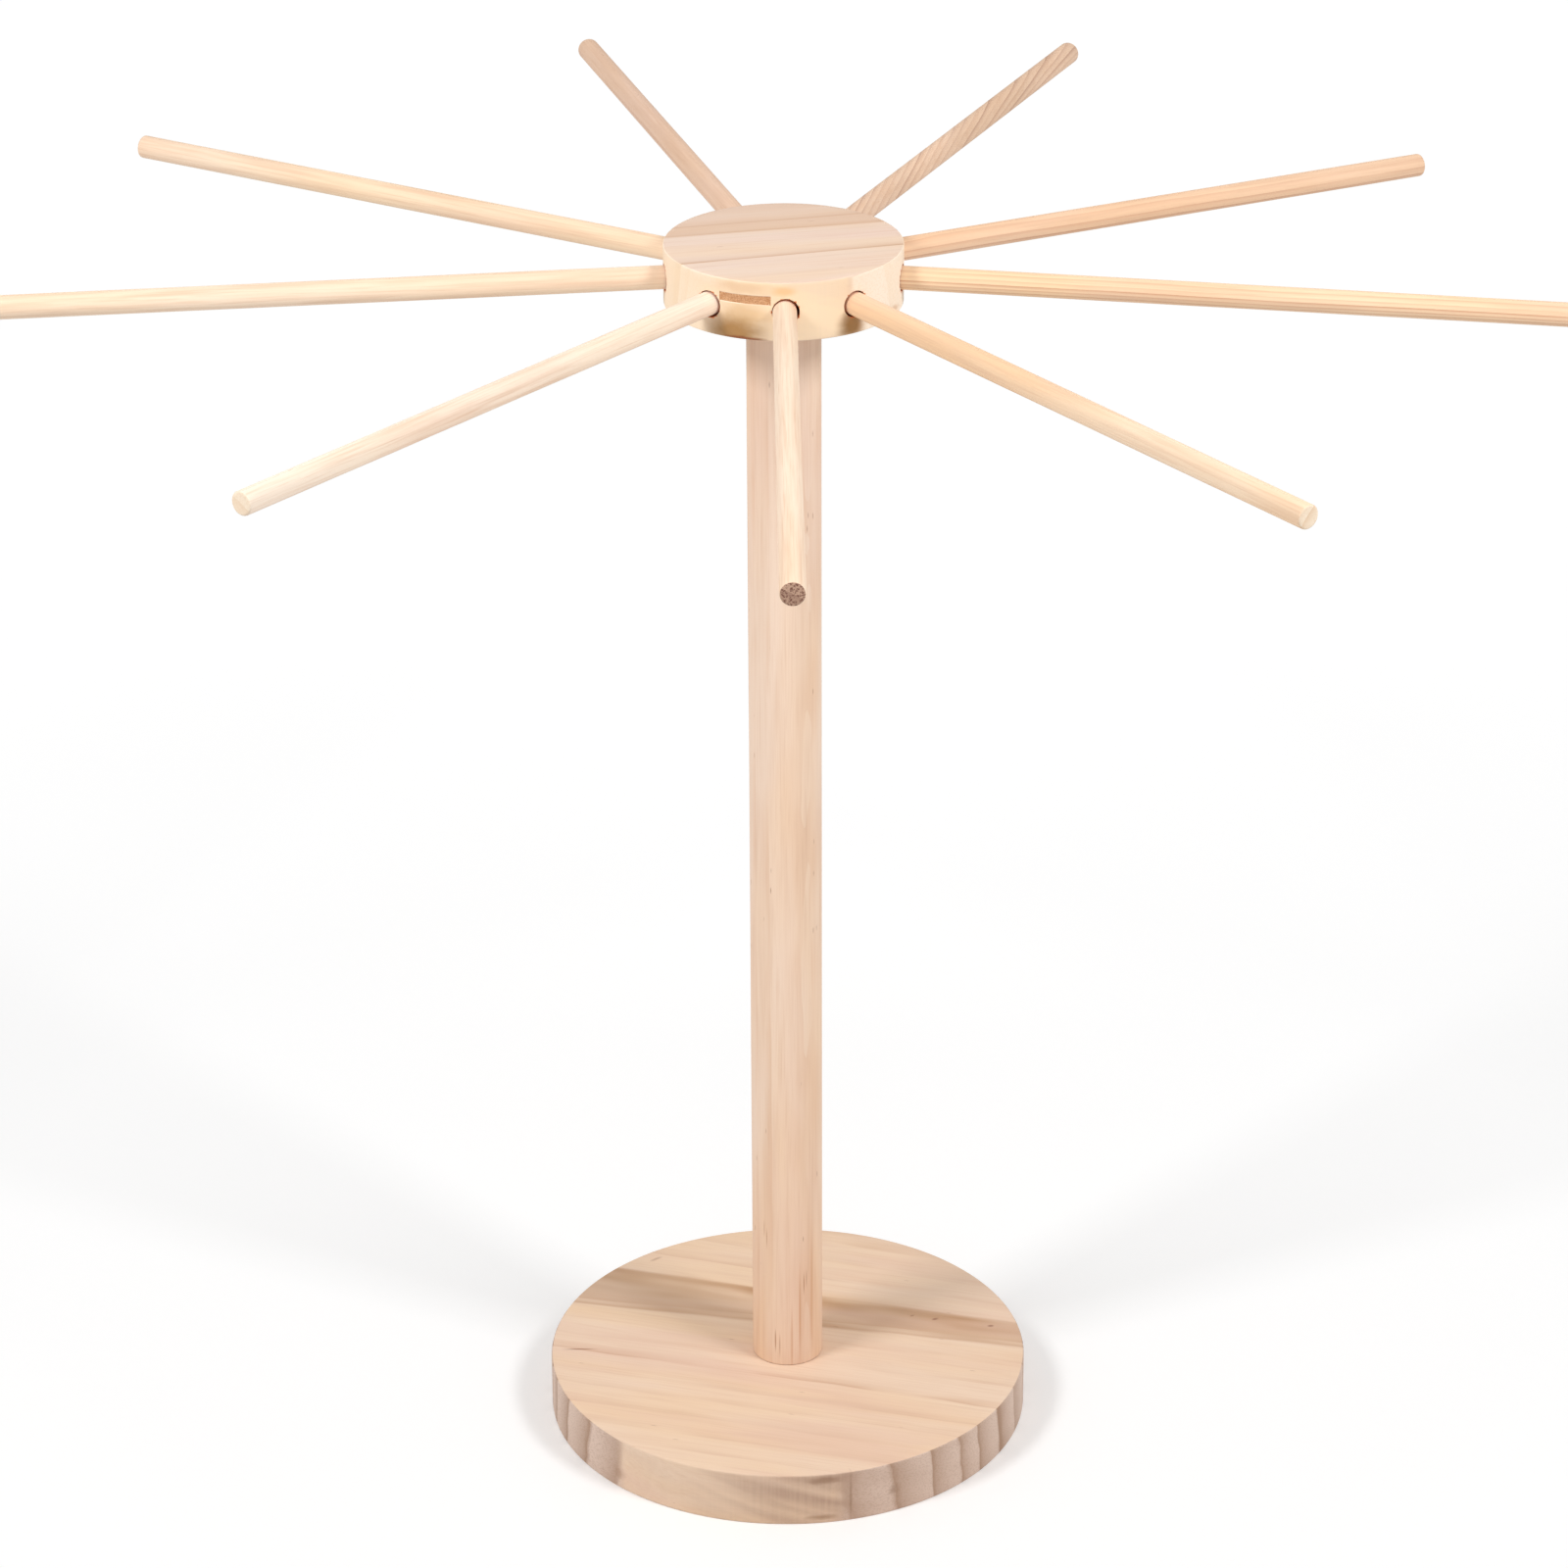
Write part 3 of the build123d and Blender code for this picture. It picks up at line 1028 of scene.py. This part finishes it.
@dataclass
class Hub(SubAssembly):
    """The turned board on the post, with a socket in its rim for each arm."""

    arms: list[ArmPlace]
    edge_ease: float = 0.6 * MM
    cuts: Cuts = Cuts(240, 22, 14)
    wave_size: float = 25 * MM
    wave_depth: float = 0.06 * MM
    socket_play: float = 0.65 * MM
    socket_shifts: tuple[float, ...] = (-0.38, 0.48, 0.0, 0.0, 0.0, 0.0, 0.0, 0.0, -0.5)
    socket_depth: float = 25.0 * MM
    socket_flare: float = 0.12 * MM
    socket_spur: float = 1.2 * MM
    bore_radius: float = 6.08 * MM
    bore_depth: float = 16.5 * MM
    bore_flare: float = 0.6 * MM
    patch_azimuths: tuple[float, float] = (-121.5, -96.0)
    patch_heights: tuple[float, float] = (520.6 * MM, 524.6 * MM)
    patch_depth: float = 0.3 * MM
    grain_angle: float = 12.0
    sockets: list[tuple[float, Vector, Vector]] = field(default_factory=list, init=False)

    def build(self) -> None:
        """Turns the board, bores it from below and drills a level socket under each arm's root."""
        low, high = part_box("hub")
        board = turned("hub_board", high.x, low.z, high.z, self.edge_ease, self.cuts)
        self.tear(board, high.x)
        sand(board, self.wave_size, self.wave_depth)
        bore = bit("hub_bore_bit", self.bore_radius, self.bore_depth, self.bore_flare, sides=64)
        drill(board, bore, Vector((0, 0, low.z)), UP)
        self.sockets = self.socket_lines()
        for radius, start, level in self.sockets:
            cutter = bit("socket_bit", radius, self.socket_depth, self.socket_flare, 64, self.socket_spur)
            drill(board, cutter, start + level * high.x, -level)
        self.seat(board, "hub", Slot.BOARD, "hub")

    def socket_lines(self) -> list[tuple[float, Vector, Vector]]:
        """Works out each socket's line. A socket lies a little to the side of its loose arm.

        Returns:
            For each socket its radius, where its line starts in the hub's middle, and its direction.
        """
        low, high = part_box("hub")
        lines = []
        for arm, shift in zip(self.arms, self.socket_shifts):
            level = Vector((arm.axis.x, arm.axis.y, 0.0)).normalized()
            start = UP * (low.z + high.z) / 2 + level.cross(UP) * shift * MM
            lines.append((arm.radius + self.socket_play, start, level))
        return lines

    def in_socket(self, place: Vector) -> bool:
        """Says whether a place is on the wall or the floor of a socket.

        Args:
            place: the middle of a face.

        Returns:
            True if a socket's wall, widened mouth included, goes through it.
        """
        for radius, start, level in self.sockets:
            away = place - start
            reach = away.dot(level)
            if reach > 0 and (away - level * reach).length < radius + self.socket_flare:
                return True
        return False

    def in_patch(self, face: Any, most_out: float) -> bool:
        """Says whether a face lies in the torn patch.

        Args:
            face: one of the rim's faces.
            most_out: how far from the hub's axis it may be.

        Returns:
            True if it is in the patch and no further out.
        """
        middle = face.calc_center_median()
        azimuth = math.degrees(math.atan2(middle.y, middle.x))
        in_turn = self.patch_azimuths[0] < azimuth < self.patch_azimuths[1]
        in_height = self.patch_heights[0] < middle.z < self.patch_heights[1]
        return in_turn and in_height and abs(face.normal.z) < 0.5 and middle.xy.length < most_out

    def tear(self, board: Piece, radius: float) -> None:
        """Sinks the shallow patch in the rim where the fibres tore out.

        Args:
            board: the turned board, before its sockets are drilled.
            radius: of its rim.
        """
        with at_work(board):
            pick(board, Element.FACES, lambda f: self.in_patch(f, 2 * radius))
            bpy.ops.mesh.inset(thickness=self.patch_depth, depth=-self.patch_depth)
            bpy.ops.mesh.subdivide(number_cuts=2)
            bpy.ops.mesh.select_less()
            bpy.ops.transform.vertex_random(offset=self.patch_depth / 3, normal=1.0, seed=5)

    def dress(self) -> None:
        """Gives the board its figure: fine lines over a pinkish cream, and a bright cream rim with painted
        shadows of the arms on it.
        """
        low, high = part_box("hub")
        finish = Pine(
            name="sanded_pine_hub_board",
            figure=Figure.BOARD,
            turn=Euler((0.0, 0.0, math.radians(self.grain_angle))),
            heart=UP * high.z / MM,
            seed=27.0,
            pale="#E7D0BF",
            warm="#EACDB0",
            pink="#E6CABA",
            late="#B88862",
            band="#D0AB8C",
            end_pale="#FDEBD6",
            end_late="#F0CFAA",
            end_share=0.4,
            end_start=0.34,
            rim_stain="#FADEBB",
            reach=60.0,
            ring_lines=(
                (-36.0, 0.7), (-20.5, 0.8), (-15.0, 1.0), (2.5, 0.7),
                (9.8, 0.75), (16.0, 1.0), (26.3, 1.0), (40.0, 0.7),
            ),
            bands=((14.0, 0.0), (16.0, 0.5), (25.5, 0.5), (27.5, 0.33), (50.0, 0.33)),
            band_patches=(1.1, 0.9),
            line_least=0.7,
            late_share=0.6,
            crisp_share=0.5,
            streak_share=0.22,
            fibre_share=0.2,
            ring_power=5.0,
            slants=((-15.0, 0.04), (16.0, 0.0), (26.0, 0.02)),
            tilt=0.2,
            stains=((-60.0, 0.5), (-36.0, 0.6), (-28.0, 1.0), (15.0, 1.0), (19.0, 0.0)),
            stain_flow=(0.75, 1.15),
            marks_and_painted_shadows=(
                MarkOrPaintedShadow(-109.0, 47.5, 527.0, 34.0, 7.0, 0.45, "#E0AE7C", 5.0, 0.8),
                # The next three are painted shadow of arm_9, arm_1 and what hangs on them: tan below the
                # torn patch, darker downwards, with a dark lower edge
                MarkOrPaintedShadow(-109.0, 47.5, 516.0, 30.0, 13.0, 0.6, "#DDAE74", 5.0, 0.4),
                MarkOrPaintedShadow(-114.0, 47.5, 508.8, 35.0, 17.0, 0.95, "#A97A40", 5.0, 0.3),
                MarkOrPaintedShadow(-108.0, 47.5, 506.6, 24.0, 2.0, 0.9, "#8F4E28"),
                MarkOrPaintedShadow(-90.0, 47.5, 526.5, 12.0, 5.0, 0.6, "#F2B878", 5.0, 0.5),
                # Painted shadow that arm_2 casts below and to the left of its root
                MarkOrPaintedShadow(-55.5, 47.5, 510.0, 16.0, 16.0, 0.95, "#AC7A3E", 5.0, 0.4),
                MarkOrPaintedShadow(-38.0, 47.5, 512.0, 14.0, 3.0, 0.5, "#D29A66"),
                MarkOrPaintedShadow(-24.0, 47.5, 509.0, 12.0, 4.0, 0.5, "#CB9362"),
            ),
        )
        self.pieces[0].data.materials.append(finish.material())
        torn = Torn("drilled_pine_sockets").material()
        self.stain(self.pieces[0], torn, lambda f: self.in_socket(f.calc_center_median()))
        torn = Torn("torn_pine_patch", pale="#E2B186", dark="#BD8254", size=0.5).material()
        self.stain(self.pieces[0], torn, lambda f: self.in_patch(f, high.x - self.patch_depth / 6))


@dataclass(frozen=True)
class Dowel:
    """What tells one arm's wood from another's: values of its finish, and how its grain lies.

    The heart is given from the arm's line, to its side and up, in millimetres, and the drift is how far
    the grain wanders to that side along the arm, as a share of its length.
    """

    pale: str = "#F6DCBF"
    warm: str = "#F6D6B0"
    pink: str = "#F2CFB2"
    late: str = "#D9A078"
    end_pale: str = "#F7E4CC"
    end_late: str = "#E3C3A2"
    end_speck: float = 0.3
    ring_width: float = 9.0
    ring_power: float = 3.5
    line_least: float = 0.12
    late_share: float = 0.3
    heart: tuple[float, float] = (20.0, -40.0)
    drift: float = 0.0


DOWELS = (
    Dowel(pale="#F5DEC6", warm="#F4D9BA", end_pale="#CBA58C", end_late="#744A3A", end_speck=1.0),
    Dowel(
        warm="#F2C698", late="#D99A68",
        ring_width=5.0, line_least=0.5, late_share=0.65, heart=(-30.0, -25.0),
    ),
    Dowel(
        pale="#F9D9B5", warm="#F8D2A4", late="#BE7650",
        ring_width=1.6, ring_power=2.2, line_least=0.6, late_share=0.95, heart=(0.0, -60.0),
    ),
    Dowel(
        pale="#F1CEAF", warm="#EEC29A", late="#A8583A",
        ring_width=3.0, ring_power=3.0, line_least=0.5, late_share=0.95, heart=(0.0, -35.0),
    ),
    Dowel(
        pale="#EACBB2", warm="#E4C0A0", late="#8E5844",
        ring_width=2.5, ring_power=2.6, line_least=0.75, late_share=0.85,
        heart=(85.0, -30.0), drift=-0.25,
    ),
    Dowel(pale="#E6C4AC", warm="#E6BE98", late="#B98A70", ring_width=2.6, ring_power=2.5, late_share=0.6),
    Dowel(pale="#F6DEC4"),
    Dowel(pale="#F7DFC6", warm="#F6D9B8", heart=(25.0, -30.0)),
    Dowel(pale="#FAE9D8", warm="#F9E3CA", pink="#F3D6C0"),
)


@dataclass
class Arms(SubAssembly):
    """The nine loose dowels."""

    arms: list[ArmPlace]
    end_ease: float = 0.9 * MM
    cuts: Cuts = Cuts(64, 48, 3)
    wave_size: float = 30 * MM
    wave_depth: float = 0.06 * MM
    most_wander: float = 0.8
    wander_share: float = 0.25

    def build(self) -> None:
        """Models one dowel and lays a copy of it along each arm's line."""
        first = self.arms[0]
        model = turned("arm_model", first.radius, 0.0, first.length, self.end_ease, self.cuts)
        for arm in self.arms:
            rod = model.copy()
            rod.data = model.data.copy()
            rod.name = f"arm_rod_{arm.number}"
            bpy.context.collection.objects.link(rod)
            turn = UP.rotation_difference(arm.axis).to_matrix().to_4x4()
            rod.matrix_world = Matrix.Translation(arm.root) @ turn
            settle(rod)
            sand(rod, self.wave_size, self.wave_depth)
            self.seat(rod, f"arm_{arm.number}", Slot.ROD, f"arm_{arm.number}")
        bpy.data.objects.remove(model)

    def dress(self) -> None:
        """Gives each dowel the wood that the table says, with its grain along its line."""
        for arm, rod, look in zip(self.arms, self.pieces, DOWELS):
            side = arm.axis.cross(UP).normalized()
            fibres = (arm.axis + side * look.drift).normalized()
            offset = side * look.heart[0] + UP * look.heart[1]
            wood = {name: value for name, value in vars(look).items() if name not in ("heart", "drift")}
            finish = Pine(
                **wood,
                name=f"sanded_pine_arm_{arm.number}",
                figure=Figure.ROD,
                turn=Vector((1.0, 0.0, 0.0)).rotation_difference(fibres).to_euler(),
                heart=arm.root / MM + offset,
                seed=40.0 + 7.0 * arm.number,
                end_start=0.7,
                crisp_share=0.0,
                wander=min(self.most_wander, look.ring_width * self.wander_share),
                canal_luck=0.08,
            )
            rod.data.materials.append(finish.material())


@dataclass
class Fixings(SubAssembly):
    """The loose pin that the hub turns on, and the screw and washer under the base."""

    def build(self) -> None:
        """Takes the solids as they are, since their shapes are right."""
        self.pieces = [frame["nodes"][name] for name in ("hub_pin", "base_washer", "base_screw")]

    def dress(self) -> None:
        """Gives the pin its beech and the metal its plating."""
        plate = ZincPlate("zinc_plated_steel").material()
        finishes = (Beech("sawn_beech_pin").material(), plate, plate)
        for piece, finish in zip(self.pieces, finishes):
            for slot in piece.material_slots:
                slot.material = finish


@dataclass
class Studio:
    """The floor, the lamps, the white surround and the camera."""

    camera_place: Vector = field(default_factory=lambda: Vector((0.64, -1951.6, 1214.25)) * MM)
    pitch: float = 25.2345
    yaw: float = -0.0372
    roll: float = -0.231
    focal_share: float = 5339.02 / 1600
    sensor: float = 36.0
    ambient: float = 0.5
    lamp_azimuths: tuple[float, ...] = (-37.0, 216.0)
    lamp_elevation: float = 38.0
    lamp_distance: float = 1.3
    lamp_size: float = 0.36
    lamp_power: float = 8.5
    floor_width: float = 12.0
    floor_shade: str = "#F7F7F7"
    spare_lift: float = 0.01

    def build(self) -> None:
        """Sets up everything round the rack."""
        self.add_floor()
        self.add_world()
        for number, azimuth in enumerate(self.lamp_azimuths):
            self.add_lamp(f"soft_lamp_{number + 1}", azimuth)
        self.add_camera()

    @staticmethod
    def seen(tree: Tree) -> Socket:
        """Adds the nodes that tell apart what the eye sees, straight, in a gloss or through glass.

        Args:
            tree: the node tree that gets them.

        Returns:
            1 for such rays, and 0 for the light that the surround sends.
        """
        share = add(tree, "LightPath", out=0)
        for kind in ("Is Glossy Ray", "Is Transmission Ray"):
            other = add(tree, "LightPath", out=kind)
            share = add(tree, "Math", {0: share, 1: other}, operation="MAXIMUM")
        return share

    def add_floor(self) -> None:
        """Lays a wide white floor under the rack."""
        deselect()
        bpy.ops.mesh.primitive_plane_add(size=self.floor_width, location=(0, 0, 0))
        floor = bpy.context.object
        floor.name = "studio_floor"
        made = bpy.data.materials.new("matt_white_studio_floor")
        tree = emptied(made)
        white = linear(self.floor_shade)
        matt = add(tree, "BsdfDiffuse", {"Color": white})
        # What the open floor gets falls short of white, and the lift that the eye gets makes up for it
        place = add(tree, "TexCoord", out="Object")
        lift = 1.0 - white[0] * self.ambient + self.spare_lift
        for azimuth in self.lamp_azimuths:
            hung, away = self.lamp_place(azimuth)
            gone = add(tree, "VectorMath", {0: hung, 1: place}, operation="SUBTRACT")
            facing = add(tree, "VectorMath", {0: gone, 1: away}, out=1, operation="DOT_PRODUCT")
            facing = add(tree, "Math", {0: facing, 1: 0.0}, operation="MAXIMUM")
            far = add(tree, "VectorMath", {0: gone}, out=1, operation="LENGTH")
            far = add(tree, "Math", {0: far, 1: 4.0}, operation="POWER")
            light = add(tree, "Math", {0: facing, 1: far}, operation="DIVIDE")
            strength = white[0] * self.lamp_power * hung.z / math.pi**2
            lift = add(tree, "Math", {0: light, 1: -strength, 2: lift}, operation="MULTIPLY_ADD")
        lift = add(tree, "Math", {0: lift, 1: 0.0}, operation="MAXIMUM")
        lift = add(tree, "Math", {0: self.seen(tree), 1: lift}, operation="MULTIPLY")
        glow = add(tree, "Emission", {"Color": linear("#FFFFFF"), "Strength": lift})
        both = add(tree, "AddShader", {0: matt, 1: glow})
        add(tree, "OutputMaterial", {"Surface": both}, out=None)
        floor.data.materials.append(made)

    def add_world(self) -> None:
        """Lights the rack evenly from all round, and shows white behind it."""
        world = bpy.data.worlds.new("white_surround")
        tree = emptied(world)
        feeds = {"Value": self.seen(tree), "To Min": self.ambient, "To Max": 1.0}
        level = add(tree, "MapRange", feeds)
        sky = add(tree, "Background", {"Color": linear("#FFFFFF"), "Strength": level})
        add(tree, "OutputWorld", {"Surface": sky}, out=None)
        bpy.context.scene.world = world

    def lamp_place(self, azimuth: float) -> tuple[Vector, Vector]:
        """Works out where a lamp hangs.

        Args:
            azimuth: its direction from the rack, in degrees from +X.

        Returns:
            Its place, and the direction to it from the hub.
        """
        low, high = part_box("hub")
        turn, rise = math.radians(azimuth), math.radians(self.lamp_elevation)
        away = Vector((math.cos(turn) * math.cos(rise), math.sin(turn) * math.cos(rise), math.sin(rise)))
        return (low + high) / 2 + away * self.lamp_distance, away

    def add_lamp(self, name: str, azimuth: float) -> None:
        """Hangs a soft square lamp that points at the hub.

        Args:
            name: the lamp's name.
            azimuth: its direction from the rack, in degrees from +X.
        """
        hung_at, away = self.lamp_place(azimuth)
        lamp = bpy.data.lights.new(name, "AREA")
        lamp.size = self.lamp_size
        lamp.energy = self.lamp_power
        hung = bpy.data.objects.new(name, lamp)
        bpy.context.collection.objects.link(hung)
        hung.location = hung_at
        hung.rotation_euler = away.to_track_quat("Z", "Y").to_euler()

    def add_camera(self) -> None:
        """Puts the camera where the photograph was taken from."""
        lens = bpy.data.cameras.new("photo_camera")
        lens.sensor_width = self.sensor
        lens.lens = self.focal_share * self.sensor
        camera = bpy.data.objects.new("photo_camera", lens)
        bpy.context.collection.objects.link(camera)
        aim = Matrix.Rotation(math.radians(-self.yaw), 4, "Z")
        tilt = Matrix.Rotation(math.radians(90.0 - self.pitch), 4, "X")
        spin = Matrix.Rotation(math.radians(self.roll), 4, "Z")
        camera.matrix_world = Matrix.Translation(self.camera_place) @ aim @ tilt @ spin
        bpy.context.scene.camera = camera


def main() -> None:
    """Builds and dresses the rack, and sets up the studio."""
    logging.basicConfig(level=logging.INFO, format="%(name)s: %(message)s")
    bpy.context.scene.view_settings.view_transform = "Standard"
    arms = [ArmPlace.read(number) for number in range(1, 10)]
    for part in (BaseBoard(), Post(), Hub(arms), Arms(arms), Fixings()):
        part.build()
        part.dress()
        for piece in part.pieces:
            log.info("%s: %d faces", piece.name, len(piece.data.polygons))
    Studio().build()


if __name__ == "__main__":
    main()
